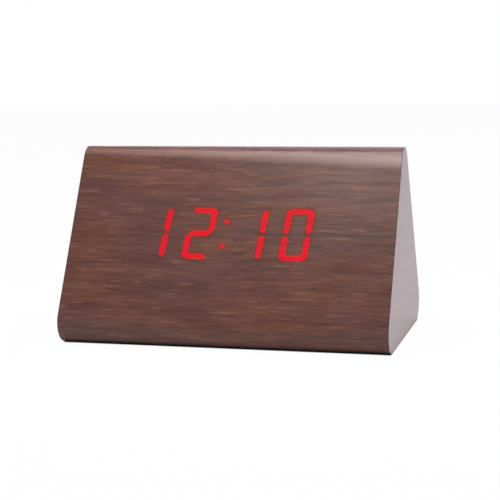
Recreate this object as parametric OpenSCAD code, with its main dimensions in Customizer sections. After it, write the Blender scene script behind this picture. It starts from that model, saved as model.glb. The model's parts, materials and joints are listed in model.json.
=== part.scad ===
// Wooden digital alarm clock: a triangular prism of mitred boards wrapped in walnut film.
// Slanted seven-segment digits shine through the front slope, a control panel is let into
// the rear slope and a battery box with a hinged door into the base.
// Millimetres. X runs along the clock, the front faces -Y, Z is up and z = 0 is the table.

/* [Case] */
// Overall width along X
case_w = 128; // [118:1:200]
// Overall depth along Y
case_d = 80; // [74:0.5:110]
// Overall height
case_h = 73.5; // [66:0.5:100]
// Radius of the two rounded base corners
base_corner_r = 8; // [7:0.25:12]
// Radius of the rounded top ridge
ridge_r = 7; // [4:0.25:9]
// Thickness of the walnut film
film_t = 0.4; // [0.2:0.05:0.8]
// Thickness of the front, rear and base boards
board_t = 6; // [5:0.25:8]
// Thickness of each end board
end_board_t = 6; // [4:0.5:8]
// How far each end board's plug reaches into the case
plug_l = 4; // [2:0.5:6]
// Glue line between glued faces
glue_t = 0.05; // [0.02:0.01:0.1]
// Gap round a piece that drops into a pocket
fit_gap = 0.2; // [0.1:0.05:0.4]
// Open butt seam of the film under the base
seam_gap = 0.3; // [0.1:0.1:0.8]

/* [Display] */
// Hour that the digits show
shown_hour = 12; // [0:1:23]
// Minute that the digits show
shown_minute = 10; // [0:1:59]
// Sideways place of the display's middle
display_x = -1.5; // [-5:0.1:5]
// Shift of the display up the front slope from the slope's middle
display_up = 1; // [-4:0.1:4]
// Height of a digit between the middles of its top and bottom bars
digit_h = 19; // [15:0.2:22]
// Width of a digit between the middles of its upright bars
digit_w = 8.6; // [7:0.1:10]
// Width of a lit bar
stroke = 2.1; // [1.6:0.1:2.8]
// Step from one digit to the next in a pair
pair_pitch = 17.8; // [15.5:0.1:19]
// Step between the two digits beside the colon
middle_pitch = 20.2; // [18:0.1:24]
// Lean of the digits to the right, in degrees
slant = 4.5; // [0:0.5:10]
// Setback of each bar's mitred end
segment_gap = 0.4; // [0.3:0.05:0.6]
// Chamfer on the outer corners of a digit
corner_cut = 1.3; // [0.6:0.1:2]
// Diameter of a colon dot
colon_d = 1.7; // [1.4:0.1:3]
// Height between the colon dots
colon_pitch = 10; // [6:0.5:14]
// Sideways place of the colon from the middle of the digits
colon_x = -0.4; // [-1:0.1:1]
// Gap between a light pipe and the wall round it
pipe_gap = 0.06; // [0.04:0.01:0.1]
// Reflector wall outside the digits
reflector_margin = 3; // [2:0.5:4]
// Display board beyond the reflector, all round
board_margin = 6; // [5:0.5:7]
// Thickness of the display board
display_board_t = 1.6; // [1:0.2:2]

/* [Control panel] */
// Width of the panel
panel_w = 84; // [76:1:96]
// Height of the panel
panel_h = 26; // [25:0.5:32]
// Corner radius of the panel
panel_r = 4; // [2:0.5:6]
// Thickness of the panel
panel_t = 1.8; // [1.4:0.1:2.4]
// Shift of the panel up the rear slope from the slope's middle
panel_up = -3; // [-6:0.5:4]
// Width of the panel's seat beyond the cut-out at each end
seat_x = 7; // [6.5:0.5:8]
// Width of the panel's seat above and below the cut-out
seat_y = 3.5; // [3:0.25:4]
// Depth of the skirt behind the panel
skirt_l = 3.6; // [2:0.2:4.4]
// Wall of the skirt
skirt_t = 1.2; // [0.8:0.1:1.4]
// Diameter of a button cap
button_d = 6.6; // [5:0.1:7]
// Step between the buttons
button_pitch = 9.8; // [9:0.1:11]
// Place of the last button, in from the end of the panel's cut-out
buttons_x = 9.2; // [9.1:0.1:11]
// How far a cap stands out of the panel
button_proud = 0.9; // [0.6:0.1:1.5]
// Gap between a cap and its hole
button_gap = 0.2; // [0.1:0.05:0.3]
// Lip that keeps a cap behind the panel, beyond the cap's side
cap_lip = 0.8; // [0.5:0.1:0.9]
// Thickness of that lip
cap_lip_t = 0.9; // [0.6:0.1:1.2]
// Depth of the dish round each cap
dish_depth = 0.4; // [0.2:0.1:0.6]
// How far a button travels
button_travel = 0.5; // [0.2:0.05:0.6]
// Side of a switch body
switch_w = 6; // [5:0.1:6.2]
// Height of a switch body
switch_h = 3.5; // [3:0.1:4.5]
// Diameter of a switch plunger
plunger_d = 3.5; // [2.5:0.1:3.8]
// How far a plunger stands out of its switch
plunger_proud = 0.9; // [0.8:0.05:1.2]
// Thickness of the button board
button_board_t = 1.2; // [0.8:0.1:1.6]
// Place of the power jack, in from the other end of the cut-out
jack_x = 11.5; // [10:0.1:13]
// Outer diameter of the jack
jack_d = 8; // [7:0.1:8.4]
// Bore of the jack, for a 3.5 mm plug
jack_bore_d = 3.7; // [3.6:0.05:4]
// Diameter of the jack's widened mouth
jack_mouth_d = 4.2; // [4.1:0.05:4.6]
// Depth of the widened mouth
jack_mouth_l = 1.6; // [1:0.1:1.8]
// Depth of the jack's bore
jack_depth = 9.5; // [8:0.1:11]
// Diameter of the jack's centre pin
jack_pin_d = 1.3; // [1:0.05:1.4]
// Diameter of the buzzer
buzzer_d = 9; // [8:0.5:10]
// Step from the jack to the buzzer
buzzer_x = 10.5; // [10:0.1:14]
// Diameter of the microphone capsule
microphone_d = 4.5; // [3:0.1:5]
// Step from the first button to the microphone, along the row
microphone_x = 4.9; // [4:0.1:6]
// Diameter of a sound hole
sound_hole_d = 1.2; // [0.8:0.1:1.6]

/* [Batteries] */
// Diameter of a cell
cell_d = 10.5; // [10:0.1:14.5]
// Length of a cell with its nub
cell_l = 44.5; // [42:0.5:51]
// Gap between cells, and between a cell and the bay's walls
cell_gap = 0.5; // [0.3:0.05:1]
// Length of a contact spring as it is squeezed
spring_l = 4.5; // [4:0.1:6]
// Turns of a contact spring
spring_turns = 3.5; // [2.5:0.5:4]
// Wire of a contact spring
spring_wire_d = 0.5; // [0.4:0.05:0.6]
// Thickness of a contact plate
contact_t = 0.3; // [0.2:0.05:0.5]
// Wall of the battery box
box_wall = 1.4; // [1:0.1:2]
// Thickness of the box's flange
flange_t = 3; // [2.8:0.1:3.6]
// Flange beyond the door at each end
flange_end = 12; // [9:0.5:14]
// Flange beyond the door at the front and rear
flange_side = 4.5; // [4.2:0.1:6]
// Ledge that the door closes on
door_ledge = 2; // [1.8:0.1:2.6]
// Thickness of the door
door_t = 1.6; // [1.4:0.05:1.7]
// Gap round the door
door_gap = 0.25; // [0.15:0.05:0.4]
// Diameter of the door's hinge pins
hinge_pin_d = 1.2; // [0.8:0.1:1.4]
// Running clearance of the hinge pins, on the radius
hinge_gap = 0.06; // [0.03:0.01:0.1]
// Width of the door's latch tongue
latch_w = 12; // [8:0.5:16]

/* [Hidden] */
$fn = 48;

// Small overlap that keeps cuts clean, and the lap of a slope over its tangent corner
cut = 1;
lap = 0.002;

// Case section, as (y, z): round corners joined by tangent lines
front_corner = [-(case_d / 2 - base_corner_r), base_corner_r];
rear_corner = [case_d / 2 - base_corner_r, base_corner_r];
ridge = [0, case_h - ridge_r];
corner_reach = norm(ridge - front_corner);
corner_lift = atan2(ridge.y - front_corner.y, ridge.x - front_corner.x);
face_tilt = corner_lift + acos((base_corner_r - ridge_r) / corner_reach) - 90;
front_normal = [-sin(face_tilt), cos(face_tilt)];
rear_normal = [sin(face_tilt), cos(face_tilt)];
base_normal = [0, -1];
face_start = front_corner + base_corner_r * front_normal;
face_l = norm(ridge + ridge_r * front_normal - face_start);

// The sharp triangle round the section, its incentre and the boards' layers
half_base = face_start.y / tan(face_tilt) - face_start.x;
apex_z = half_base * tan(face_tilt);
slope_l = norm([half_base, apex_z]);
inradius = half_base * apex_z / (half_base + slope_l);
incentre = [0, inradius];
sharp_corners = [[-half_base, 0], [half_base, 0], [0, apex_z]];
shell_t = film_t + glue_t;
mitre_gap = 0.05;
end_x = case_w / 2;
plate_x = end_x - film_t - glue_t;
tube_x = plate_x - end_board_t - glue_t;
inner_z = -(shell_t + board_t);

// Digits: which bars each numeral lights, in the order a to g, and each bar's form and side
NUMERALS = [
    [1, 1, 1, 1, 1, 1, 0], [0, 1, 1, 0, 0, 0, 0], [1, 1, 0, 1, 1, 0, 1], [1, 1, 1, 1, 0, 0, 1],
    [0, 1, 1, 0, 0, 1, 1], [1, 0, 1, 1, 0, 1, 1], [1, 0, 1, 1, 1, 1, 1], [1, 1, 1, 0, 0, 0, 0],
    [1, 1, 1, 1, 1, 1, 1], [1, 1, 1, 1, 0, 1, 1]
];
BARS = [
    ["cap", 1, 1], ["upright", 1, 1], ["upright", 1, -1], ["cap", 1, -1],
    ["upright", -1, -1], ["upright", -1, 1], ["middle", 1, 1]
];
shown = [floor(shown_hour / 10), shown_hour % 10, floor(shown_minute / 10), shown_minute % 10];
digit_places = [
    -middle_pitch / 2 - pair_pitch, -middle_pitch / 2,
    middle_pitch / 2, middle_pitch / 2 + pair_pitch
];
display_s = face_l / 2 + display_up;
colon_places = [for (y = [-1, 1] * colon_pitch / 2) [colon_x, 0] + leaned([0, y])];
digit_lean = (digit_h + stroke) / 2 * tan(slant);
reflector_w = middle_pitch + 2 * pair_pitch + digit_w + stroke + 2 * (digit_lean + reflector_margin);
reflector_h = digit_h + stroke + 2 * reflector_margin;
display_board_w = reflector_w + 2 * board_margin;
display_board_h = reflector_h + 2 * board_margin;
led_h = 0.8;
led_gap = 0.1;
pipe_bottom = inner_z + led_h + led_gap;
display_front = inner_z - glue_t;
display_back = display_front - display_board_t;
display_screw_at = [display_board_w / 2 - board_margin / 2, display_board_h / 2 - board_margin / 2];
display_screw_r = 1;
display_head_r = 1.9;
display_head_h = 1.3;

// Control panel, measured from its middle on the rear face, with z out of the face
panel_s = face_l / 2 + panel_up;
cutout_w = panel_w - 2 * seat_x;
cutout_h = panel_h - 2 * seat_y;
cutout_r = 2;
panel_screw_x = panel_w / 2 - seat_x / 2;
panel_screw_r = 1;
screw_gap = 0.05;
last_button = cutout_w / 2 - buttons_x;
button_places = [last_button - 2 * button_pitch, last_button - button_pitch, last_button];
jack_place = jack_x - cutout_w / 2;
buzzer_place = jack_place + buzzer_x;
microphone_gap = 0.25;
microphone_place = [
    button_places[0] + microphone_x,
    -(cutout_h / 2 - fit_gap - skirt_t - microphone_gap - microphone_d / 2)
];
cap_rest_gap = 0.1;
cap_nub_h = 0.3;
lip_top = -panel_t - cap_rest_gap;
lip_bottom = lip_top - cap_lip_t;
plunger_top = lip_bottom - cap_nub_h;
switch_top = plunger_top - plunger_proud;
plunger_sink = 0.9;
board_top = switch_top - switch_h;
board_bottom = board_top - button_board_t;
button_board_w = cutout_w - 3 * fit_gap;
button_board_h = cutout_h - 3 * fit_gap;
boss_r = 2;
boss_inset = 0.6;
boss_x = cutout_w / 2 - fit_gap - boss_r - boss_inset;
boss_screw_r = 0.75;
boss_head_r = 1.8;
boss_head_h = 1.2;
jack_floor = 1.5;
jack_bottom = -jack_depth - jack_floor;
jack_collar = 0.8;
jack_collar_t = 1.2;
jack_pin_setback = 0.3;
jack_pin_tip = -jack_mouth_l - jack_pin_setback;
jack_pin_step = 0.2;
jack_pin_root_r = jack_pin_d / 2 + jack_pin_step;
jack_pin_tail = 1.2;
pin_fit = 0.02;
buzzer_gap = 0.6;
buzzer_top = -panel_t - buzzer_gap;
buzzer_well = 1.2;
sound_ring_r = 2.7;

// Battery box, with its flange flush with the film's inner face
flange_z = film_t;
contact_dimple = 0.4;
contact_gap = 0.05;
wall_gap = 0.02;
bay_l = cell_l + spring_l + 2 * contact_t + contact_dimple + contact_gap;
cell_pitch = cell_d + cell_gap;
bay_w = 3 * cell_d + 4 * cell_gap;
door_l = bay_l + 2 * door_ledge;
door_w = bay_w + 2 * door_ledge;
flange_l = door_l + 2 * flange_end;
flange_w = door_w + 2 * flange_side;
flange_r = 4;
box_hole_l = door_l + 4 * fit_gap;
box_hole_w = door_w + 8 * fit_gap;
door_top = flange_z + door_t;
door_seat_gap = 0.1;
flange_top = flange_z + flange_t;
door_rib_h = 0.4;
cell_lift = 0.3;
roof_gap = 0.2;
cell_z = door_top + door_rib_h + cell_lift + cell_d / 2;
bay_top = cell_z + cell_d / 2 + roof_gap;
box_top = bay_top + box_wall;
knuckle_r = 1;
knuckle_gap = 0.3;
hinge_y = door_w / 2 - knuckle_r;
hinge_z = flange_z + knuckle_r;
pin_l = 1.5;
door_end = door_l / 2 - door_gap;
door_front = -door_w / 2 + door_gap;
tongue_t = 1;
tongue_rise = 1.8;
tongue_top = flange_top + tongue_rise;
barb = 0.4;
barb_gap = 0.3;
notch_front = door_front - barb - barb_gap;
scoop_r = 3.4;
scoop_depth = 1.1;
box_screw_x = door_l / 2 + flange_end / 2;
box_screw_inset = 5;
box_screw_y = door_w / 2 - box_screw_inset;
box_screw_r = 0.9;
screw_head_r = 1.9;
screw_head_h = 1.1;
tab_w = 3;
tab_rise = 2;
tab_top = box_top + tab_rise;
cell_places = [-cell_pitch, 0, cell_pitch];
spring_r_wide = cell_d * 0.34;
spring_r_narrow = cell_d * 0.22;
seam_y = (flange_w / 2 + fit_gap + rear_corner.x) / 2;

// Lengths of the screws: what each goes through and its bite
panel_bite = 3.4;
panel_screw_l = panel_t + panel_bite;
box_bite = 2.2;
box_screw_l = flange_t + box_bite;
display_bite = 4;
display_screw_l = display_board_t + glue_t + display_bite;
boss_bite = 3.6;
board_screw_l = button_board_t + boss_bite;

// Leads, as round points chosen by hand between the contact tabs and the button board
lead_d = 1.3;
red_route = [[0, 0, 0], [1, 0.5, 4], [1.5, 3, 9]];
black_route = [[0, 0, 0], [-1, -0.5, 4], [-1.5, -2.5, 9]];
red_lifts = [12, 6, 0.1];
black_lifts = [8, 4, 0.1];
lead_gap = 0.1;
lead_pad_inset = 21.7;
lead_board_x = button_board_w / 2 - lead_pad_inset;
lead_board_s = 4;
ribbon_w = 7.6;
ribbon_t = 0.9;
ribbon_reach = 10;
connector_h = 3;
connector_w = 9.5;
connector_t = 4;
ribbon_seat_gap = 0.1;
connector_inset = 4;
ribbon_front_s = connector_inset - display_board_h / 2;
ribbon_rear_s = -5.5;

// Places on the slopes, as points (x, s, z): s runs up the slope and z out of it
function front_point(x, s, z) =
    [x, each (face_start + s * [cos(face_tilt), sin(face_tilt)] + z * front_normal)];
function rear_point(x, s, z) = let (p = front_point(x, s, z)) [-p.x, -p.y, p.z];

module on_front()
    translate([0, face_start.x, face_start.y]) rotate([face_tilt, 0, 0]) children();

module on_rear()
    rotate([0, 0, 180]) on_front() children();

module on_display()
    on_front() translate([display_x, display_s, 0]) children();

module on_panel()
    on_rear() translate([0, panel_s, 0]) children();

// A flat outline given depth between two heights
module slab(z0, z1)
    translate([0, 0, z0]) linear_extrude(z1 - z0) children();

// A (y, z) section run along X
module along_x(x0, x1)
    translate([x0, 0, 0]) rotate([90, 0, 90]) linear_extrude(x1 - x0) children();

module rounded_rect(w, h, r) {
    square([w, h - 2 * r], center = true);
    square([w - 2 * r, h], center = true);
    for (x = [-1, 1], y = [-1, 1])
        translate([x * (w / 2 - r), y * (h / 2 - r)]) circle(r);
}

// Round rod between two heights
module rod(r, z0, z1)
    translate([0, 0, z0]) cylinder(r = r, h = z1 - z0);

// Section of the case at a depth t below its surface
module case_section(t) {
    low = base_corner_r - t;
    high = ridge_r - t;
    polygon([
        front_corner + low * base_normal, rear_corner + low * base_normal,
        rear_corner + (low + lap) * rear_normal, ridge + (high + lap) * rear_normal,
        ridge + (high + lap) * front_normal, front_corner + (low + lap) * front_normal
    ]);
    translate(front_corner) circle(low);
    translate(rear_corner) circle(low);
    translate(ridge) circle(high);
}

// The hollow inside the boards, with sharp corners
function inner_triangle(t) = [for (p = sharp_corners) incentre + (p - incentre) * (inradius - t) / inradius];

// One of the three mitred boards, between two corners of the section
module mitred_board(corner_a, corner_b, normal)
    along_x(-tube_x, tube_x) intersection() {
        difference() {
            case_section(shell_t);
            polygon(inner_triangle(shell_t + board_t));
        }
        translate(mitre_gap * normal) polygon([incentre, corner_a, corner_b]);
    }

// Outlines of a digit's bars, grown all round by a clearance
function cap_bar(grow) =
    let (h = stroke / 2 + grow, g = segment_gap - grow * sqrt(2), x = digit_w / 2, y = digit_h / 2)
    [
        [x + h - g - corner_cut, y + h], [-x - h + g + corner_cut, y + h],
        [-x - h + g + corner_cut / 2, y + h - corner_cut / 2], [-x + h + g, y - h],
        [x - h - g, y - h], [x + h - g - corner_cut / 2, y + h - corner_cut / 2]
    ];

function upright_bar(grow) =
    let (h = stroke / 2 + grow, g = segment_gap - grow * sqrt(2), x = digit_w / 2, y = digit_h / 2)
    [
        [x + h, g + h / 2], [x + h, y + h - g - corner_cut],
        [x + h - corner_cut / 2, y + h - g - corner_cut / 2], [x - h, y - h - g],
        [x - h, g + h], [x, g]
    ];

function middle_bar(grow) =
    let (h = stroke / 2 + grow, g = segment_gap - grow * sqrt(2), x = digit_w / 2)
    [[x - g, 0], [x - g - h, h], [-x + g + h, h], [-x + g, 0], [-x + g + h, -h], [x - g - h, -h]];

function bar_points(form, grow) =
    form == "cap" ? cap_bar(grow) : form == "upright" ? upright_bar(grow) : middle_bar(grow);

function bar_middle(form) =
    form == "cap" ? [0, digit_h / 2] : form == "upright" ? [digit_w / 2, digit_h / 4] : [0, 0];

function leaned(p) = [p.x + p.y * tan(slant), p.y];

function turned(p, bar) = [p.x * bar[1], p.y * bar[2]];

// Every bar of the four digits that is lit (1) or dark (0)
module digit_bars(lit, grow)
    for (d = [0:3], b = [0:6])
        if (NUMERALS[shown[d]][b] == lit)
            translate([digit_places[d], 0])
                polygon([for (p = bar_points(BARS[b][0], grow)) leaned(turned(p, BARS[b]))]);

module colon_dots(grow)
    for (p = colon_places) translate(p) circle(colon_d / 2 + grow);

// Pan-head screw along Z: the head starts at z = 0 and the shank goes up
module pan_screw(r, l, head_r, head_h)
    difference() {
        union() {
            rod(r, -head_h / 2, l);
            rod(head_r, -head_h, 0);
        }
        cross_slot(head_r, -head_h);
    }

// Countersunk screw along Z: its flat head is at z = 0 and the shank goes down
module flat_screw(r, l)
    difference() {
        union() {
            rod(r, -l, -screw_head_h / 2);
            translate([0, 0, -screw_head_h]) cylinder(r1 = r, r2 = screw_head_r, h = screw_head_h);
        }
        cross_slot(screw_head_r, 0);
    }

module cross_slot(head_r, z)
    for (a = [0, 90])
        rotate(a) translate([0, 0, z]) cube([head_r * 1.2, head_r * 0.25, head_r * 0.7], center = true);

// Countersunk hole to match flat_screw
module flat_screw_hole(r, l) {
    rod(r + screw_gap, -l - screw_gap, cut);
    translate([0, 0, -screw_head_h]) cylinder(
        r1 = r + screw_gap, r2 = screw_head_r + screw_gap, h = screw_head_h);
    rod(screw_head_r + screw_gap, 0, cut);
}

module panel_cutout()
    rounded_rect(panel_w + 2 * fit_gap, panel_h + 2 * fit_gap, panel_r + fit_gap);

module flange_cutout()
    rounded_rect(flange_l + 2 * fit_gap, flange_w + 2 * fit_gap, flange_r + fit_gap);

module at_panel_screws()
    for (x = [-1, 1] * panel_screw_x) translate([x, 0, 0]) children();

module at_display_screws()
    for (x = [-1, 1] * display_screw_at.x, y = [-1, 1] * display_screw_at.y)
        translate([x, y, 0]) children();

module at_board_screws()
    for (x = [-1, 1] * boss_x) translate([x, 0, 0]) children();

// Box screws point up into the base board, so their heads face down
module at_box_screws()
    for (x = [-1, 1] * box_screw_x, y = [-1, 1] * box_screw_y)
        translate([x, y, flange_z]) rotate([180, 0, 0]) children();

// Case: three mitred boards, two end boards and the film

module front_board()
    color("burlywood") difference() {
        mitred_board(sharp_corners[0], sharp_corners[2], front_normal);
        on_display() {
            slab(inner_z - cut, cut)
                square([reflector_w + 2 * fit_gap, reflector_h + 2 * fit_gap], center = true);
            at_display_screws()
                rod(display_screw_r + screw_gap, inner_z - cut, display_back + display_screw_l + screw_gap);
        }
    }

module rear_board()
    color("burlywood") difference() {
        mitred_board(sharp_corners[1], sharp_corners[2], rear_normal);
        on_panel() {
            slab(-panel_t - glue_t, cut) panel_cutout();
            slab(inner_z - cut, cut) rounded_rect(cutout_w, cutout_h, cutout_r);
            at_panel_screws() rod(panel_screw_r + screw_gap, -panel_screw_l - screw_gap, cut);
        }
    }

module base_board()
    color("burlywood") difference() {
        mitred_board(sharp_corners[0], sharp_corners[1], base_normal);
        slab(-cut, flange_top + glue_t) flange_cutout();
        slab(-cut, -inner_z + cut) square([box_hole_l, box_hole_w], center = true);
        at_box_screws() rod(box_screw_r + screw_gap, -box_screw_l - screw_gap, cut);
    }

module end_board()
    color("burlywood") {
        along_x(tube_x + glue_t, plate_x) case_section(shell_t);
        along_x(tube_x + glue_t - plug_l, plate_x - end_board_t / 2)
            polygon(inner_triangle(shell_t + board_t + fit_gap));
    }

module left_end_board() mirror([1, 0, 0]) end_board();

module right_end_board() end_board();

// The film goes round the boards and over the end boards' edges, and meets itself under the base
module wood_wrap()
    color("#6f4f45") difference() {
        along_x(-end_x, end_x) difference() {
            case_section(0);
            case_section(film_t);
        }
        on_display() slab(-cut, cut) {
            digit_bars(1, pipe_gap);
            colon_dots(pipe_gap);
        }
        on_panel() slab(-cut, cut) panel_cutout();
        slab(-cut, cut) flange_cutout();
        translate([-case_w / 2 - cut, seam_y, -cut]) cube([case_w + 2 * cut, seam_gap, 2 * cut]);
    }

module end_film()
    color("#8d7a72") along_x(end_x - film_t, end_x) case_section(film_t + glue_t);

module left_end_film() mirror([1, 0, 0]) end_film();

module right_end_film() end_film();

// Display: light pipes in a reflector, over lamps on the display board

module lit_segments()
    color("#ff1a2e") on_display() slab(pipe_bottom, 0) {
        digit_bars(1, 0);
        colon_dots(0);
    }

module dark_segments()
    color("#e8e2da") on_display() slab(pipe_bottom, -shell_t) digit_bars(0, 0);

module display_reflector()
    color("whitesmoke") on_display() difference() {
        slab(inner_z, -shell_t) square([reflector_w, reflector_h], center = true);
        slab(inner_z - cut, cut) {
            digit_bars(0, pipe_gap);
            digit_bars(1, pipe_gap);
            colon_dots(pipe_gap);
        }
    }

module led_chips() {
    led_l = 2;
    led_w = 1.2;
    color("ivory") on_display() slab(display_front, display_front + led_h) {
        for (d = [0:3], bar = BARS)
            translate([digit_places[d], 0] + leaned(turned(bar_middle(bar[0]), bar)))
                square(bar[0] == "upright" ? [led_w, led_l] : [led_l, led_w], center = true);
        for (p = colon_places) translate(p) square(led_w, center = true);
    }
}

module display_board()
    color("#1f6b3a") on_display() difference() {
        slab(display_back, display_front) square([display_board_w, display_board_h], center = true);
        at_display_screws() rod(display_screw_r + screw_gap, display_back - cut, display_front + cut);
    }

module display_screws()
    color("silver") on_display() at_display_screws()
        translate([0, 0, display_back])
            pan_screw(display_screw_r, display_screw_l, display_head_r, display_head_h);

// Small-outline package with a row of bent legs on each long side
module controller_chip() {
    chip_l = 13;
    chip_w = 7.5;
    chip_h = 2.2;
    legs = 10;
    leg_pitch = 1.27;
    leg_w = 0.45;
    leg_t = 0.25;
    leg_reach = 1.4;
    chip_x = -18;
    color("#1b1b1d") on_display() translate([chip_x, 0, display_back]) mirror([0, 0, 1]) {
        slab(leg_t / 2, chip_h) square([chip_l, chip_w], center = true);
        for (side = [-1, 1], i = [0:legs - 1])
            translate([(i - (legs - 1) / 2) * leg_pitch - leg_w / 2, 0, 0]) scale([1, side, 1])
                rotate([90, 0, 90]) linear_extrude(leg_w) polygon([
                    [chip_w / 2 - leg_t, chip_h / 2], [chip_w / 2 - leg_t, chip_h / 2 + leg_t],
                    [chip_w / 2 + leg_reach / 2, chip_h / 2 + leg_t],
                    [chip_w / 2 + leg_reach / 2 + leg_t, leg_t],
                    [chip_w / 2 + leg_reach, leg_t], [chip_w / 2 + leg_reach, 0],
                    [chip_w / 2 + leg_reach / 2, 0], [chip_w / 2 + leg_reach / 2 - leg_t, chip_h / 2]
                ]);
    }
}

// Can of the clock crystal, lying on the display board
module quartz_crystal() {
    can_l = 8;
    can_r = 1.5;
    can_at = [-3, 6];
    foot_r = 1.275;
    foot_l = 0.6;
    color("silver") on_display() translate([can_at.x, can_at.y, display_back - can_r]) rotate([0, 90, 0]) {
        rod(can_r, 0, can_l);
        rod(foot_r, -foot_l, foot_l / 2);
    }
}

module connector()
    difference() {
        slab(0, connector_h) square([connector_w, connector_t], center = true);
        slab(connector_h / 2, connector_h + cut)
            square([ribbon_w + 2 * fit_gap, ribbon_t + 2 * fit_gap], center = true);
    }

module cable_connectors()
    color("white") {
        on_display() translate([-display_x, ribbon_front_s, display_back]) mirror([0, 0, 1]) connector();
        on_panel() translate([0, ribbon_rear_s, board_bottom]) mirror([0, 0, 1]) connector();
    }

// Ribbon between the two boards: a flat band along a smooth curve across the case
function flat_curve(a, b, c, d, t) =
    a * pow(1 - t, 3) + 3 * b * t * pow(1 - t, 2) + 3 * c * t * t * (1 - t) + d * pow(t, 3);

function yz(p) = [p.y, p.z];

function sideways(v) = [-v.y, v.x] / norm(v);

module ribbon_cable() {
    depth = connector_h / 2 + ribbon_seat_gap;
    start = yz(front_point(0, display_s + ribbon_front_s, display_back - depth));
    end = yz(rear_point(0, panel_s + ribbon_rear_s, board_bottom - depth));
    start_pull = start - ribbon_reach * front_normal;
    end_pull = end - ribbon_reach * rear_normal;
    steps = 24;
    middle = [for (i = [0:steps]) flat_curve(start, start_pull, end_pull, end, i / steps)];
    aside = [for (i = [0:steps])
        i == 0 ? sideways(start_pull - start) : i == steps ? sideways(end - end_pull)
            : sideways(middle[i + 1] - middle[i - 1])];
    color("lightgray") along_x(-ribbon_w / 2, ribbon_w / 2) polygon(concat(
        [for (i = [0:steps]) middle[i] + aside[i] * ribbon_t / 2],
        [for (i = [steps:-1:0]) middle[i] - aside[i] * ribbon_t / 2]
    ));
}

// Control panel: a moulded plate with a skirt, screwed into a pocket in the rear board

module control_panel()
    color("#1c1c1e") on_panel() difference() {
        union() {
            slab(-panel_t, 0) rounded_rect(panel_w, panel_h, panel_r);
            slab(-panel_t - skirt_l, -panel_t / 2) difference() {
                rounded_rect(cutout_w - 2 * fit_gap, cutout_h - 2 * fit_gap, cutout_r - fit_gap);
                square([cutout_w, cutout_h] - 2 * (fit_gap + skirt_t) * [1, 1], center = true);
            }
            at_board_screws() rod(boss_r, board_top + glue_t, -panel_t / 2);
        }
        for (x = button_places) translate([x, 0, 0]) {
            rod(button_d / 2 + button_gap, -panel_t - cut, cut);
            rod(button_d / 2 + button_gap + cap_lip, -dish_depth, cut);
        }
        at_board_screws()
            rod(boss_screw_r + screw_gap, board_top - cut, board_bottom + board_screw_l + screw_gap);
        at_panel_screws() flat_screw_hole(panel_screw_r, panel_screw_l);
        translate([jack_place, 0, 0]) rod(jack_d / 2 + fit_gap, -panel_t - cut, cut);
        translate([buzzer_place, 0, 0]) {
            rod(sound_hole_d / 2, -panel_t - cut, cut);
            for (a = [0:60:300]) rotate(a) translate([sound_ring_r, 0, 0])
                rod(sound_hole_d / 2, -panel_t - cut, cut);
        }
        translate(microphone_place) rod(sound_hole_d / 2, -panel_t - cut, cut);
    }

module panel_screws()
    color("silver") on_panel() at_panel_screws() flat_screw(panel_screw_r, panel_screw_l);

// Button cap: dished top, chamfered edge, a lip behind the panel and a nub on the plunger
module button_cap(place) {
    r = button_d / 2;
    edge = 0.4;
    bowl_r = 14;
    bowl_depth = 0.25;
    nub_inset = 0.2;
    color("#2a2a2c") on_panel() translate([button_places[place], 0, 0]) difference() {
        union() {
            rod(r, lip_top - cap_lip_t / 2, button_proud - edge);
            translate([0, 0, button_proud - edge]) cylinder(r1 = r, r2 = r - edge, h = edge);
            rod(r + cap_lip, lip_bottom, lip_top);
            rod(plunger_d / 2 - nub_inset, plunger_top, lip_bottom + cap_lip_t / 2);
        }
        translate([0, 0, button_proud + bowl_r - bowl_depth]) sphere(bowl_r);
    }
}

module set_button() button_cap(0);

module up_button() button_cap(1);

module down_button() button_cap(2);

module plunger(place)
    color("#c8b28a") on_panel() translate([button_places[place], 0, 0])
        rod(plunger_d / 2, switch_top - plunger_sink, plunger_top);

module set_plunger() plunger(0);

module up_plunger() plunger(1);

module down_plunger() plunger(2);

// Push switches: a square can with its plunger's well and four rivets on the lid
module switch_bodies() {
    rivet_r = 0.45;
    rivet_h = 0.15;
    rivet_inset = 0.9;
    rivet_at = switch_w / 2 - rivet_inset;
    well_gap = 0.2;
    well_floor = switch_top - plunger_sink - button_travel - well_gap;
    color("dimgray") on_panel() for (x = button_places) translate([x, 0, 0]) difference() {
        union() {
            slab(board_top, switch_top) square(switch_w, center = true);
            for (u = [-1, 1], v = [-1, 1]) translate([u * rivet_at, v * rivet_at, 0])
                rod(rivet_r, switch_top - rivet_h, switch_top + rivet_h);
        }
        rod(plunger_d / 2 + screw_gap, well_floor, switch_top + cut);
    }
}

module button_board()
    color("#1f6b3a") on_panel() difference() {
        slab(board_bottom, board_top) square([button_board_w, button_board_h], center = true);
        at_board_screws() rod(boss_screw_r + screw_gap, board_bottom - cut, board_top + cut);
        translate([jack_place, 0, 0]) rod(jack_d / 2 + screw_gap, board_bottom - cut, board_top + cut);
    }

module button_board_screws()
    color("silver") on_panel() at_board_screws()
        translate([0, 0, board_bottom]) pan_screw(boss_screw_r, board_screw_l, boss_head_r, boss_head_h);

// Power jack: a round housing through the board, with a collar on it and a stepped bore
module dc_jack()
    color("#141416") on_panel() translate([jack_place, 0, 0]) difference() {
        union() {
            rod(jack_d / 2, jack_bottom, 0);
            rod(jack_d / 2 + jack_collar, board_top, board_top + jack_collar_t);
        }
        rod(jack_bore_d / 2, -jack_depth, cut);
        rod(jack_mouth_d / 2, -jack_mouth_l, cut);
        rod(jack_pin_root_r + pin_fit, jack_bottom - cut, -jack_depth + cut);
    }

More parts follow.
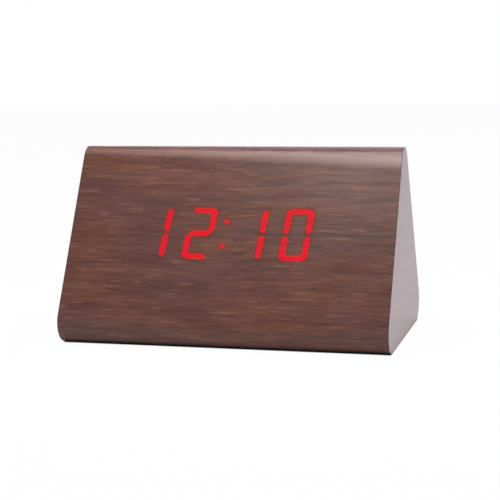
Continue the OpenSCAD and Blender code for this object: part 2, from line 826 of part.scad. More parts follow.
module jack_centre_pin()
    color("silver") on_panel() translate([jack_place, 0, 0]) {
        rod(jack_pin_root_r, jack_bottom - jack_pin_tail, -jack_depth);
        rod(jack_pin_d / 2, -jack_depth - cut, jack_pin_tip - jack_pin_d / 2);
        translate([0, 0, jack_pin_tip - jack_pin_d / 2]) sphere(jack_pin_d / 2);
    }

module buzzer()
    color("#202024") on_panel() translate([buzzer_place, 0, 0]) difference() {
        rod(buzzer_d / 2, board_top, buzzer_top);
        rod(sound_hole_d, buzzer_top - buzzer_well, buzzer_top + cut);
    }

// Microphone capsule: a crimped can with a felt face, on its own rubber holder
module microphone() {
    can_h = 2.2;
    felt_h = 0.3;
    crimp = 0.5;
    color("#8a8a8c") on_panel() translate(microphone_place) {
        rod(microphone_d / 2, board_top, board_top + can_h);
        rod(microphone_d / 2 - crimp, board_top + can_h - felt_h, board_top + can_h + felt_h);
    }
}

// Battery box: a moulded tub with a flange, let into the base from below

module hinge_axis(x0, x1, r)
    translate([x0, hinge_y, hinge_z]) rotate([0, 90, 0]) cylinder(r = r, h = x1 - x0);

module battery_box()
    color("#1c1c1e") difference() {
        union() {
            slab(flange_z, flange_top) rounded_rect(flange_l, flange_w, flange_r);
            slab(flange_top - cut, box_top)
                square([bay_l + 2 * box_wall, bay_w + 2 * box_wall], center = true);
        }
        difference() {
            slab(flange_z - cut, bay_top) square([bay_l, bay_w], center = true);
            for (y = [-1, 1] * cell_pitch / 2) cradle_rib(y);
        }
        door_recess();
        latch_window();
        translate([0, -door_w / 2, 0]) rod(scoop_r, flange_z - cut, flange_z + scoop_depth);
        for (side = [-1, 1])
            translate([side * (bay_l / 2 - contact_t / 2), -side * cell_pitch, bay_top])
                cube([contact_t + 2 * fit_gap, tab_w + 2 * fit_gap, 3 * box_wall], center = true);
        at_box_screws() flat_screw_hole(box_screw_r, box_screw_l);
    }

// Rib on the bay's roof that reaches down between two cells
module cradle_rib(y) {
    half_root = 1.6;
    half_tip = 0.3;
    drop = cell_d * 0.27;
    reach = bay_l / 2 - spring_l;
    along_x(-reach, reach) polygon([
        [y - half_root, bay_top + cut], [y + half_root, bay_top + cut],
        [y + half_tip, bay_top - drop], [y - half_tip, bay_top - drop]
    ]);
}

// Room for the door: its recess, the round channel of its knuckle and the hinge pins' bores
module door_recess() {
    recess_top = door_top + door_seat_gap;
    translate([-door_l / 2, -door_w / 2, flange_z - cut])
        cube([door_l, hinge_y + door_w / 2, recess_top - flange_z + cut]);
    hinge_axis(-door_l / 2, door_l / 2, knuckle_r + knuckle_gap);
    translate([-door_l / 2, hinge_y, flange_z - cut])
        cube([door_l, knuckle_r + knuckle_gap, hinge_z - flange_z + cut]);
    hinge_axis(-door_l / 2 - pin_l, door_l / 2 + pin_l, hinge_pin_d / 2 + hinge_gap);
}

// Room for the latch tongue and its barb through the flange, the ledge and the box's front wall
module latch_window()
    translate([-latch_w / 2 - 2 * fit_gap, notch_front, flange_z - cut])
        cube([latch_w + 4 * fit_gap, -bay_w / 2 - notch_front, tongue_top + 2 * fit_gap - flange_z + cut]);

module battery_box_screws()
    color("silver") at_box_screws() flat_screw(box_screw_r, box_screw_l);

// Door: a plate on a round knuckle with a pin at each end, ribs inside and a latch tongue
module battery_door() {
    rib_w = 1.2;
    rib_x = door_l / 4;
    grip_w = 0.8;
    grips = 5;
    grip_pitch = 1.8;
    grip_depth = 0.3;
    grip_inset = 1.6;
    rib_setback = 1;
    barb_foot = flange_top + 0.1;
    barb_low = flange_top + 0.3;
    barb_high = flange_top + 0.8;
    color("#232325") difference() {
        union() {
            translate([-door_end, door_front, flange_z])
                cube([2 * door_end, hinge_y - door_front, door_t]);
            hinge_axis(-door_end, door_end, knuckle_r);
            hinge_axis(-door_end - pin_l, door_end + pin_l, hinge_pin_d / 2);
            for (x = [-1, 0, 1] * rib_x)
                translate([x - rib_w / 2, -bay_w / 2 + rib_setback, door_top - door_t / 2])
                    cube([rib_w, bay_w - 2 * rib_setback, door_t / 2 + door_rib_h]);
            along_x(-latch_w / 2, latch_w / 2) polygon([
                [door_front, flange_z + door_t / 2], [door_front + tongue_t, flange_z + door_t / 2],
                [door_front + tongue_t, tongue_top], [door_front + tongue_t / 2, tongue_top],
                [door_front - barb, barb_high], [door_front - barb, barb_low], [door_front, barb_foot]
            ]);
        }
        for (i = [0:grips - 1])
            translate([-latch_w / 2, door_front + grip_inset + i * grip_pitch, flange_z - cut])
                cube([latch_w, grip_w, cut + grip_depth]);
    }
}

// Cell along X with its nub towards +X (1) or -X (-1)
module cell(place, way) {
    nub_l = 1;
    nub_r = 1.9;
    crimp_l = 1;
    crimp = 0.3;
    end = bay_l / 2 - contact_t - contact_dimple - contact_gap;
    translate([0, cell_places[place], cell_z]) rotate([0, way * 90, 0]) {
        rod(cell_d / 2, end - cell_l, end - nub_l - crimp_l);
        rod(cell_d / 2 - crimp, end - nub_l - crimp_l - cut, end - nub_l);
        rod(nub_r, end - nub_l - cut, end);
    }
}

module cell_front() color("#3c4f63") cell(0, 1);

module cell_middle() color("#3c4f63") cell(1, -1);

module cell_rear() color("#3c4f63") cell(2, 1);

// Contact plates: one at each terminal, with a tab through the roof, and a bridge at each end
module contact_plates() {
    plate_h = cell_d * 0.8;
    plate_w = cell_d * 0.85;
    color("#c9c9cc") for (side = [-1, 1])
        translate([side * (bay_l / 2 - wall_gap), 0, cell_z]) scale([side, 1, 1]) {
            translate([-contact_t, -side * cell_pitch - plate_w / 2, -plate_h / 2])
                cube([contact_t, plate_w, plate_h]);
            translate([-contact_t, -side * cell_pitch - tab_w / 2, 0])
                cube([contact_t, tab_w, tab_top - cell_z]);
            translate([-contact_t, side * cell_pitch / 2 - (cell_pitch + plate_w) / 2, -plate_h / 2])
                cube([contact_t, cell_pitch + plate_w, plate_h]);
            for (y = side > 0 ? [-cell_pitch, cell_pitch] : [0])
                translate([-contact_t - contact_dimple, y, 0]) rotate([0, 90, 0])
                    cylinder(r = cell_d / 5, h = contact_dimple + contact_t / 2);
        }
}

// Conical springs on the cells' flat ends, each one unbroken helix
spring_rings = 8;
spring_sides = 6;
spring_count = spring_turns * spring_rings;
spring_end_gap = 0.05;
spring_rise = spring_l - spring_wire_d - 2 * spring_end_gap;

function spring_centre(i) =
    let (u = i / spring_count, r = spring_r_wide + (spring_r_narrow - spring_r_wide) * u)
    [r * cos(360 * i / spring_rings), r * sin(360 * i / spring_rings),
        spring_wire_d / 2 + spring_end_gap + u * spring_rise];

function spring_ring(i) =
    let (a = 360 * i / spring_rings, c = spring_centre(i))
    [for (k = [0:spring_sides - 1])
        let (b = 360 * k / spring_sides, out = spring_wire_d / 2 * cos(b))
        c + [out * cos(a), out * sin(a), spring_wire_d / 2 * sin(b)]];

spring_least_gap = min([for (i = [0:spring_count], j = [0:spring_count])
    if (j - i >= spring_rings / 2) norm(spring_centre(i) - spring_centre(j))]) - spring_wire_d;
echo(spring_least_gap = spring_least_gap);

// Closed tube through equal rings of points
module ringed_tube(rings) {
    n = len(rings[0]);
    last = (len(rings) - 1) * n;
    polyhedron(
        points = [for (ring = rings) each ring],
        faces = concat(
            [for (i = [0:len(rings) - 2], k = [0:n - 1], half = [0, 1])
                let (a = i * n + k, b = i * n + (k + 1) % n)
                half == 0 ? [a, a + n, b] : [b, a + n, b + n]],
            [for (k = [1:n - 2]) [0, k, k + 1]],
            [for (k = [1:n - 2]) [last, last + k + 1, last + k]]
        )
    );
}

module contact_springs()
    color("silver") for (place = [0:2]) {
        way = place == 1 ? -1 : 1;
        translate([-way * (bay_l / 2 - contact_t - wall_gap), cell_places[place], cell_z])
            rotate([0, way * 90, 0]) ringed_tube([for (i = [0:spring_count]) spring_ring(i)]);
    }

// Leads: a round wire swept along a smooth curve through its route's points
function through(p, i, t) =
    let (a = p[max(i - 1, 0)], b = p[i], c = p[i + 1], d = p[min(i + 2, len(p) - 1)])
    b + t / 2 * (c - a) + t * t / 2 * (2 * a - 5 * b + 4 * c - d) + t * t * t / 2 * (3 * b - a - 3 * c + d);

function smooth(p, steps) =
    concat([for (i = [0:len(p) - 2], k = [0:steps - 1]) through(p, i, k / steps)], [p[len(p) - 1]]);

function unit(v) = v / norm(v);

module lead(route) {
    sides = 8;
    path = smooth(route, 4);
    ends = len(path) - 1;
    ringed_tube([for (i = [0:ends])
        let (
            ahead = unit(path[min(i + 1, ends)] - path[max(i - 1, 0)]),
            u = unit(cross(ahead, [1, 0, 0])),
            v = cross(ahead, u)
        )
        [for (k = [0:sides - 1])
            path[i] + lead_d / 2 * (cos(360 * k / sides) * v + sin(360 * k / sides) * u)]]);
}

module red_lead()
    color("#c02028") lead(concat(
        [for (p = red_route) p + [bay_l / 2 - contact_t / 2, -cell_pitch, tab_top + lead_gap]],
        [for (lift = red_lifts) rear_point(-lead_board_x, panel_s + lead_board_s, board_bottom - lift)]
    ));

module black_lead()
    color("#18181a") lead(concat(
        [for (p = black_route) p + [-bay_l / 2 + contact_t / 2, cell_pitch, tab_top + lead_gap]],
        [for (lift = black_lifts) rear_point(lead_board_x, panel_s + lead_board_s, board_bottom - lift)]
    ));

front_board();
rear_board();
base_board();
left_end_board();
right_end_board();
wood_wrap();
left_end_film();
right_end_film();
lit_segments();
dark_segments();
display_reflector();
led_chips();
display_board();
display_screws();
controller_chip();
quartz_crystal();
cable_connectors();
ribbon_cable();
control_panel();
panel_screws();
set_button();
up_button();
down_button();
set_plunger();
up_plunger();
down_plunger();
switch_bodies();
button_board();
button_board_screws();
dc_jack();
jack_centre_pin();
buzzer();
microphone();
battery_box();
battery_box_screws();
battery_door();
cell_front();
cell_middle();
cell_rear();
contact_plates();
contact_springs();
red_lead();
black_lead();
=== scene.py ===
import json
import math

import bpy
import numpy as np
from mathutils import Matrix, Vector


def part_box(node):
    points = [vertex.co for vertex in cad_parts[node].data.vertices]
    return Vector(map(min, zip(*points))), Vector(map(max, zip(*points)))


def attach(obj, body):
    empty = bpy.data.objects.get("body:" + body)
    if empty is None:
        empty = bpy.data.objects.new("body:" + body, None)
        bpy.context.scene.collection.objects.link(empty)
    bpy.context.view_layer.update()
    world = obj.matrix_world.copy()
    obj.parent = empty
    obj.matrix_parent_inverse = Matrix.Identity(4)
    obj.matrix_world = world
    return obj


# Wooden digital alarm clock: the finish of its pieces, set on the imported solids.
# Metres, in the solids' own frame: X along the clock, the front faces -Y, Z is up, the table is z = 0.
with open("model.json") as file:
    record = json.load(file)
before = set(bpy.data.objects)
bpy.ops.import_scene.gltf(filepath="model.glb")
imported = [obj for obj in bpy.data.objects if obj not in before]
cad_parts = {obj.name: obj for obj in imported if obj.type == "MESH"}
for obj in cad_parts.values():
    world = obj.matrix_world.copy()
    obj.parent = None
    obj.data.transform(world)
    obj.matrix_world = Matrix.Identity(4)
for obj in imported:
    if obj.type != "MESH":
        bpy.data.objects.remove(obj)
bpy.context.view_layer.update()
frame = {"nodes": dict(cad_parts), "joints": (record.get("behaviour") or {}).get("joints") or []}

# Camera: where the photograph was taken from, a little to the right of the clock and just above it.
# Its turn, lift, roll, reach and lens were solved from the corners of the clock in the photograph.
camera_turn = math.radians(14.957)
camera_lift = math.radians(7.986)
camera_roll = math.radians(-0.92)
camera_reach = 0.5595
camera_target = Vector((0, 0, 0.036))
camera_lens = 101.69
camera_shift = (0.01191, -0.01819)

back = Vector((
    math.sin(camera_turn) * math.cos(camera_lift),
    -math.cos(camera_turn) * math.cos(camera_lift),
    math.sin(camera_lift),
))
level = Vector((math.cos(camera_turn), math.sin(camera_turn), 0))
rise = back.cross(level)
right = math.cos(camera_roll) * level + math.sin(camera_roll) * rise
up = math.cos(camera_roll) * rise - math.sin(camera_roll) * level
bpy.ops.object.select_all(action="DESELECT")
bpy.ops.object.camera_add()
camera = bpy.context.object
camera.matrix_world = (
    Matrix.Translation(camera_target + camera_reach * back)
    @ Matrix((right, up, back)).transposed().to_4x4()
)
camera.data.lens = camera_lens
camera.data.shift_x = camera_shift[0]
camera.data.shift_y = camera_shift[1]
bpy.context.scene.camera = camera
bpy.context.scene.view_settings.view_transform = "Standard"


def linear(code):
    """Linear colour of an sRGB hex value."""
    parts = [int(code[i:i + 2], 16) / 255 for i in (1, 3, 5)]
    return (*[p / 12.92 if p <= 0.04045 else ((p + 0.055) / 1.055) ** 2.4 for p in parts], 1)


def add(tree, kind, inputs=None, **settings):
    """Adds one node with its settings, and sets each input or links it to another node's output."""
    node = tree.nodes.new("ShaderNode" + kind)
    for name, value in settings.items():
        setattr(node, name, value)
    for socket, value in (inputs or {}).items():
        if isinstance(value, bpy.types.NodeSocket):
            tree.links.new(value, node.inputs[socket])
        else:
            node.inputs[socket].default_value = value
    return node


# Studio: a white floor under a white surround, as in a catalogue picture. Seen directly or in a reflection
# both are plain white, and as light they only fill the shadows. The floor is dark where the clock's rounded
# foot hangs close over it, and open under the flat base, so that the base has light from below.
MM = 0.001
floor_size = 4
floor_gap = 0.05 * MM
floor_white = "#f2f2f2"
floor_glow = 0.97
base_half = (63.7 * MM, 31.8 * MM)
contact_reach = (0.7 * MM, 8 * MM)
contact_samples = 8
contact_crisp = (0.35, 0.85)
contact_dark = "#2a211f"
surround_fill = 0.2
cellar_fill = 0.7
cellar_start = -0.1
ceiling_gloss = 0.2
ceiling_start = (0.4, 0.8)

# The surround is dimmer overhead in reflections, and brighter as light under the floor
world = bpy.data.worlds.new("white_surround")
bpy.context.scene.world = world
world.use_nodes = True
tree = world.node_tree
ray = add(tree, "LightPath")
way = add(tree, "SeparateXYZ", {"Vector": add(tree, "TexCoord").outputs["Generated"]})
ceiling = add(tree, "MapRange", {
    "Value": way.outputs["Z"], "From Min": ceiling_start[0], "From Max": ceiling_start[1],
    "To Min": 1, "To Max": ceiling_gloss})
glossy = add(tree, "Math", {0: ray.outputs["Is Glossy Ray"], 1: ceiling.outputs[0]}, operation="MULTIPLY")
seen = add(tree, "Math", {
    0: ray.outputs["Is Camera Ray"], 1: ray.outputs["Is Transmission Ray"]}, operation="MAXIMUM")
shown = add(tree, "Math", {0: seen.outputs[0], 1: glossy.outputs[0]}, operation="MAXIMUM")
fill = add(tree, "MapRange", {
    "Value": way.outputs["Z"], "From Min": cellar_start, "From Max": 0,
    "To Min": cellar_fill, "To Max": surround_fill})
strength = add(tree, "Math", {0: shown.outputs[0], 1: fill.outputs[0]}, operation="MAXIMUM")
surround = tree.nodes["Background"]
surround.inputs["Color"].default_value = linear("#ffffff")
tree.links.new(strength.outputs[0], surround.inputs["Strength"])

# The floor's contact shadow is crisp to the camera and wider in reflections
bpy.ops.object.select_all(action="DESELECT")
bpy.ops.mesh.primitive_plane_add(size=floor_size, location=(0, 0, -floor_gap))
bpy.ops.object.transform_apply()
floor = bpy.context.object
floor.name = "studio_floor"
paper = bpy.data.materials.new("white_paper_sweep")
paper.use_nodes = True
tree = paper.node_tree
ray = add(tree, "LightPath")
seen = add(tree, "Math", {
    0: ray.outputs["Is Camera Ray"], 1: ray.outputs["Is Glossy Ray"]}, operation="MAXIMUM")
seen = add(tree, "Math", {0: seen.outputs[0], 1: ray.outputs["Is Transmission Ray"]}, operation="MAXIMUM")
near, far = [
    add(tree, "AmbientOcclusion", {"Distance": distance}, samples=contact_samples).outputs["AO"]
    for distance in contact_reach]
crisp = add(tree, "MapRange", {"Value": near, "From Min": contact_crisp[0], "From Max": contact_crisp[1]})
open_floor = add(tree, "MapRange", {
    "Value": ray.outputs["Is Camera Ray"], "To Min": far, "To Max": crisp.outputs[0]})
share = add(tree, "Math", {0: seen.outputs[0], 1: floor_glow}, operation="MULTIPLY")
share = add(tree, "Math", {0: share.outputs[0], 1: open_floor.outputs[0]}, operation="MULTIPLY")
touched = add(tree, "MixRGB", {
    "Fac": crisp.outputs[0], "Color1": linear(contact_dark), "Color2": linear(floor_white)})
matt = add(tree, "BsdfDiffuse", {"Color": touched.outputs[0]})
white = add(tree, "Emission", {"Color": linear("#ffffff"), "Strength": 1})
top = add(tree, "MixShader", {0: share.outputs[0], 1: matt.outputs[0], 2: white.outputs[0]})

# From below, and under the flat base, the floor is clear
under = add(tree, "NewGeometry")
at = add(tree, "SeparateXYZ", {"Vector": add(tree, "TexCoord").outputs["Object"]})
in_x = add(tree, "Math", {0: at.outputs["X"], 1: 0, 2: base_half[0]}, operation="COMPARE")
in_y = add(tree, "Math", {0: at.outputs["Y"], 1: 0, 2: base_half[1]}, operation="COMPARE")
opening = add(tree, "Math", {0: in_x.outputs[0], 1: in_y.outputs[0]}, operation="MULTIPLY")
unseen = add(tree, "Math", {0: under.outputs["Backfacing"], 1: opening.outputs[0]}, operation="MAXIMUM")
clear = add(tree, "BsdfTransparent")
sheet = add(tree, "MixShader", {0: unseen.outputs[0], 1: top.outputs[0], 2: clear.outputs[0]})
tree.links.new(sheet.outputs[0], tree.nodes["Material Output"].inputs["Surface"])
floor.data.materials.append(paper)

# Lamps: soft boxes round the clock. The close one overhead lights the ridge more than the foot of the front,
# and the next two draw the pale band along the ridge. The others light the front, the right end and the rear.
lamp_target = Vector((0, 0, 0.05))
lamps = {
    "over_box": ((0, -0.05, 0.38), (0.3, 0.2), 1.02),
    "ridge_box_right": ((-0.042, -0.31, 0.57), (0.12, 0.12), 0.31),
    "ridge_box_left": ((-0.28, 0.115, 0.57), (0.1, 0.1), 0.25),
    "front_box": ((-0.354, -0.612, 0.843), (0.4, 0.4), 0.26),
    "end_box": ((0.7, 0.05, 0.15), (0.4, 0.4), 1.4),
    "rear_box": ((0.4, 0.9, 0.7), (0.5, 0.4), 3),
}
for name, (place, size, power) in lamps.items():
    bpy.ops.object.light_add(type="AREA")
    lamp = bpy.context.object
    lamp.name = name
    lamp.data.shape = "RECTANGLE"
    lamp.data.size, lamp.data.size_y = size
    lamp.data.energy = power
    aim = Vector(place) - lamp_target
    lamp.matrix_world = Matrix.Translation(place) @ aim.to_track_quat("Z", "Y").to_matrix().to_4x4()

# Case boards: three mitred boards and two end boards of fibreboard, glued into a closed prism.
# Sawn and sanded fibreboard is an even tan with fine darker fibres and no gloss.
fibre_l = 1.6 * MM
fibre_w = 0.25 * MM
fibre_cloud = 9 * MM
fibre_rise = 0.08 * MM


def begin(name):
    """Starts a finish: its material, its nodes, its shader and the place on the object."""
    material = bpy.data.materials.new(name)
    material.use_nodes = True
    tree = material.node_tree
    return material, tree, tree.nodes["Principled BSDF"], add(tree, "TexCoord").outputs["Object"]


def dress(material, *names):
    """Gives solids their finish."""
    for name in names:
        for slot in frame["nodes"][name].material_slots:
            slot.material = material


fibreboard, tree, shader, place = begin("sanded_fibreboard")
fibres = add(tree, "TexNoise", {
    "Vector": add(tree, "Mapping", {
        "Vector": place, "Scale": (1 / fibre_l, 1 / fibre_w, 1 / fibre_w)}).outputs[0],
    "Scale": 1, "Detail": 4, "Roughness": 0.7})
clouds = add(tree, "TexNoise", {"Vector": place, "Scale": 1 / fibre_cloud, "Detail": 2})
fleck = add(tree, "MixRGB", {
    "Fac": fibres.outputs["Fac"], "Color1": linear("#8f6c47"), "Color2": linear("#c9a578")})
tan = add(tree, "MixRGB", {
    "Fac": clouds.outputs["Fac"], "Color1": fleck.outputs[0], "Color2": linear("#b48f63")})
tree.links.new(tan.outputs[0], shader.inputs["Base Color"])
shader.inputs["Roughness"].default_value = 0.85
fuzz = add(tree, "Bump", {"Height": fibres.outputs["Fac"], "Strength": 0.4, "Distance": fibre_rise})
tree.links.new(fuzz.outputs[0], shader.inputs["Normal"])
dress(fibreboard, "front_board", "rear_board", "base_board", "left_end_board", "right_end_board")

# Walnut film: a printed and embossed sheet wrapped round the prism, with a smooth piece on each end.
# It is satin brown, with grain along the clock, dark pores and short pale embossed flecks.
# The wrapped sheet is rubbed pale along the ridge, where a painted highlight also lies, and has painted shade
# low at the foot; its cut ends show a paler core with a painted highlight, beside a dark line of painted
# shade.
wander_l = 52 * MM
wander_w = 24 * MM
wander_reach = 3.4 * MM
pattern_apart = (3.7, 5.1, 2.3)
pore_levels = (0.4, 0.75)
pore_dull = 0.12


def walnut_film(name, base, turn, figure, emboss, gloss):
    """Film with its grain turned from X about Z; figure is how strong the grain is, emboss its depth."""
    film, tree, shader, place = begin(name)
    laid = add(tree, "Mapping", {"Vector": place, "Rotation": (0, 0, turn)}).outputs[0]

    # The grain wanders across the sheet by a few millimetres
    slow = add(tree, "Mapping", {"Vector": laid, "Scale": (1 / wander_l, 1 / wander_w, 1 / wander_w)})
    drift = add(tree, "TexNoise", {"Vector": slow.outputs[0], "Scale": 1, "Detail": 1})
    wander = add(tree, "VectorMath", {
        0: drift.outputs["Color"], 1: (0, wander_reach, wander_reach), 2: laid},
        operation="MULTIPLY_ADD").outputs[0]

    # Each pattern is noise drawn out to its own length and width in millimetres
    patterns = {
        "tone": (42, 12), "shade": (64, 7), "band": (70, 3.6), "streak": (22, 2.2),
        "pore": (10, 1.6), "fleck": (9, 1.0), "fibre": (10, 0.7)}
    grain = {}
    for i, (key, (length, width)) in enumerate(patterns.items()):
        drawn = add(tree, "Mapping", {
            "Vector": wander, "Location": [i * apart for apart in pattern_apart],
            "Scale": (1 / (length * MM), 1 / (width * MM), 1 / (width * MM))})
        grain[key] = add(tree, "TexNoise", {
            "Vector": drawn.outputs[0], "Scale": 1, "Detail": 1, "Roughness": 0.5}).outputs["Fac"]

    # Each layer tints the ones before it where its pattern lies between two levels
    colour = linear(base)
    layers = [
        ("tone", 0.44, 0.66, "#6f3a26", 0.8), ("tone", 0.56, 0.36, "#643733", 0.8),
        ("shade", 0.48, 0.32, "#5d2e21", 0.8), ("band", 0.50, 0.30, "#572c20", 0.35),
        ("streak", 0.50, 0.72, "#784a36", 0.5), ("streak", 0.48, 0.28, "#55281c", 0.56),
        ("pore", 0.56, 0.70, "#491f14", 0.5), ("fleck", 0.60, 0.70, "#8b5c44", 0.45),
        ("fibre", 0.50, 0.72, "#4a1f14", 0.55)]
    for key, none, full, tint, most in layers:
        share = add(tree, "MapRange", {
            "Value": grain[key], "From Min": none, "From Max": full, "To Min": 0, "To Max": figure * most})
        colour = add(tree, "MixRGB", {
            "Fac": share.outputs[0], "Color1": colour, "Color2": linear(tint)}).outputs[0]
    tree.links.new(colour, shader.inputs["Base Color"])

    # The pores are duller, and the flecks are pressed in
    dull = add(tree, "MapRange", {
        "Value": grain["pore"], "From Min": pore_levels[0], "From Max": pore_levels[1],
        "To Min": gloss, "To Max": gloss + pore_dull * figure})
    tree.links.new(dull.outputs[0], shader.inputs["Roughness"])
    relief = add(tree, "Math", {0: grain["fleck"], 1: grain["streak"]}, operation="ADD")
    pressed = add(tree, "Bump", {"Height": relief.outputs[0], "Strength": 0.5, "Distance": emboss})
    tree.links.new(pressed.outputs[0], shader.inputs["Normal"])
    return film


case_low, case_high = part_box("wood_wrap")
line_height = 41.8 * MM
line_start = 6 * MM
line_fade = 9 * MM
line_half = (0.2 * MM, 0.6 * MM)
line_most = 0.75
wave_l = 22 * MM
wave_h = 1.6 * MM
# The ridge band: rubbed pale and dull, and a painted highlight as well, paler towards the light
rub_highlight_start = (0.1 * MM, 1.6 * MM)
rub_highlight_peak = (1.2 * MM, 4.3 * MM)
rub_highlight_end = (3.0 * MM, 8.6 * MM)
rub_highlight_most = 0.8
rub_dull = 0.22
towards_light_power = 1.7
# A painted grey highlight along the crown of the ridge
crown_highlight = (0.7 * MM, 1.5 * MM)
crown_highlight_most = 0.5
# Painted shade beside each cut end, and a paler core that also serves as a painted highlight
cut_edge = (0.6 * MM, 0.3 * MM)
edge_shade_most = 0.45
end_facing = 0.7
# Painted shade low in the round of the foot, with its specular turned down
foot_line = (0.6 * MM, 2.6 * MM)
foot_round = (8 * MM, 6.4 * MM)
foot_shade_most = 0.7
foot_shade_full = 0.6
open_specular = 0.5
shaded_foot_specular = 0.04


def wrapped_film(name):
    """The film round the prism: the printed sheet and the marks that its ends don't have."""
    film = walnut_film(name, base="#6d3c29", turn=0, figure=1.25, emboss=0.035 * MM, gloss=0.25)
    tree = film.node_tree
    shader = tree.nodes["Principled BSDF"]
    colour = shader.inputs["Base Color"].links[0].from_socket
    dull = shader.inputs["Roughness"].links[0].from_socket
    coordinates = add(tree, "TexCoord")
    place = coordinates.outputs["Object"]
    at = add(tree, "SeparateXYZ", {"Vector": place})

    # One long dark growth line waves along the right half of the front
    wave = add(tree, "TexNoise", {
        "Vector": add(tree, "Mapping", {"Vector": place, "Scale": (1 / wave_l, 0, 0)}).outputs[0],
        "Scale": 1, "Detail": 2})
    height = add(tree, "Math", {
        0: wave.outputs["Fac"], 1: wave_h, 2: at.outputs["Z"]}, operation="MULTIPLY_ADD")
    off_line = add(tree, "Math", {0: height.outputs[0], 1: line_height + wave_h / 2}, operation="SUBTRACT")
    off_line = add(tree, "Math", {0: off_line.outputs[0]}, operation="ABSOLUTE")
    near_line = add(tree, "MapRange", {
        "Value": off_line.outputs[0], "From Min": line_half[0], "From Max": line_half[1],
        "To Min": line_most, "To Max": 0})
    along = add(tree, "MapRange", {
        "Value": at.outputs["X"], "From Min": line_start, "From Max": line_start + line_fade})
    on_line = add(tree, "Math", {0: near_line.outputs[0], 1: along.outputs[0]}, operation="MULTIPLY")
    colour = add(tree, "MixRGB", {
        "Fac": on_line.outputs[0], "Color1": colour, "Color2": linear("#3d2821")}).outputs[0]

    # Hands rub the ridge pale and dull. The pale band is also a painted highlight, wider and paler towards
    # the right, where the light falls, and the crown carries a painted grey highlight
    to_right = add(tree, "MapRange", {
        "Value": at.outputs["X"], "From Min": case_low.x, "From Max": case_high.x}).outputs[0]
    below = add(tree, "Math", {0: case_high.z, 1: at.outputs["Z"]}, operation="SUBTRACT").outputs[0]
    start, peak, end = [
        add(tree, "MapRange", {"Value": to_right, "To Min": at_left, "To Max": at_right}).outputs[0]
        for at_left, at_right in (rub_highlight_start, rub_highlight_peak, rub_highlight_end)]
    from_top = add(tree, "MapRange", {
        "Value": below, "From Min": start, "From Max": peak}, interpolation_type="SMOOTHSTEP").outputs[0]
    to_face = add(tree, "MapRange", {
        "Value": below, "From Min": peak, "From Max": end, "To Min": 1, "To Max": 0},
        interpolation_type="SMOOTHSTEP").outputs[0]
    rubbed_and_highlit = add(tree, "Math", {0: from_top, 1: to_face}, operation="MULTIPLY").outputs[0]
    towards_light = add(tree, "Math", {0: to_right, 1: towards_light_power}, operation="POWER").outputs[0]
    pale = add(tree, "MixRGB", {
        "Fac": towards_light, "Color1": linear("#794734"), "Color2": linear("#c3a6a2")}).outputs[0]
    rub_highlight = add(tree, "Math", {0: rubbed_and_highlit, 1: rub_highlight_most}, operation="MULTIPLY").outputs[0]
    colour = add(tree, "MixRGB", {"Fac": rub_highlight, "Color1": colour, "Color2": pale}).outputs[0]
    on_crown_highlight = add(tree, "MapRange", {
        "Value": below, "From Min": crown_highlight[0], "From Max": crown_highlight[1], "To Min": crown_highlight_most, "To Max": 0})
    grey = add(tree, "Math", {0: on_crown_highlight.outputs[0], 1: to_right}, operation="MULTIPLY").outputs[0]
    colour = add(tree, "MixRGB", {"Fac": grey, "Color1": colour, "Color2": linear("#9c878f")}).outputs[0]
    dull = add(tree, "Math", {0: rubbed_and_highlit, 1: rub_dull, 2: dull}, operation="MULTIPLY_ADD").outputs[0]

    # A dark line of painted shade runs beside each cut end, where the film turns over the edge, and the cut
    # itself shows the paler core, which also serves as a painted highlight along that edge
    across = add(tree, "Math", {0: at.outputs["X"]}, operation="ABSOLUTE")
    edge_shade = add(tree, "MapRange", {
        "Value": across.outputs[0], "From Min": case_high.x - cut_edge[0],
        "From Max": case_high.x - cut_edge[1], "To Min": 0, "To Max": edge_shade_most}).outputs[0]
    colour = add(tree, "MixRGB", {"Fac": edge_shade, "Color1": colour, "Color2": linear("#33211e")}).outputs[0]
    facing = add(tree, "SeparateXYZ", {"Vector": coordinates.outputs["Normal"]}).outputs["X"]
    facing = add(tree, "Math", {0: facing}, operation="ABSOLUTE").outputs[0]
    endways = add(tree, "Math", {0: facing, 1: end_facing}, operation="GREATER_THAN").outputs[0]
    core_and_highlight = add(tree, "Math", {0: edge_shade, 1: endways}, operation="MULTIPLY").outputs[0]
    core_and_highlight = add(tree, "MapRange", {"Value": core_and_highlight, "From Max": edge_shade_most}).outputs[0]
    colour = add(tree, "MixRGB", {"Fac": core_and_highlight, "Color1": colour, "Color2": linear("#8a6f62")}).outputs[0]

    # Painted shade darkens the low round of the foot, where the contact shadow falls, but not the flat base,
    # and its specular is turned down there so that the round doesn't mirror the white floor
    low = add(tree, "MapRange", {
        "Value": at.outputs["Z"], "From Min": foot_line[0], "From Max": foot_line[1],
        "To Min": foot_shade_most, "To Max": 0}, interpolation_type="SMOOTHSTEP").outputs[0]
    from_middle = add(tree, "Math", {0: at.outputs["Y"]}, operation="ABSOLUTE").outputs[0]
    out = add(tree, "MapRange", {
        "Value": from_middle, "From Min": case_high.y - foot_round[0],
        "From Max": case_high.y - foot_round[1]}).outputs[0]
    foot_shade = add(tree, "Math", {0: low, 1: out}, operation="MULTIPLY").outputs[0]
    colour = add(tree, "MixRGB", {"Fac": foot_shade, "Color1": colour, "Color2": linear("#170b0a")}).outputs[0]
    shine = add(tree, "MapRange", {
        "Value": foot_shade, "From Max": foot_shade_full, "To Min": open_specular, "To Max": shaded_foot_specular})
    tree.links.new(colour, shader.inputs["Base Color"])
    tree.links.new(dull, shader.inputs["Roughness"])
    tree.links.new(shine.outputs[0], shader.inputs["Specular IOR Level"])
    return film


dress(wrapped_film("walnut_film"), "wood_wrap")

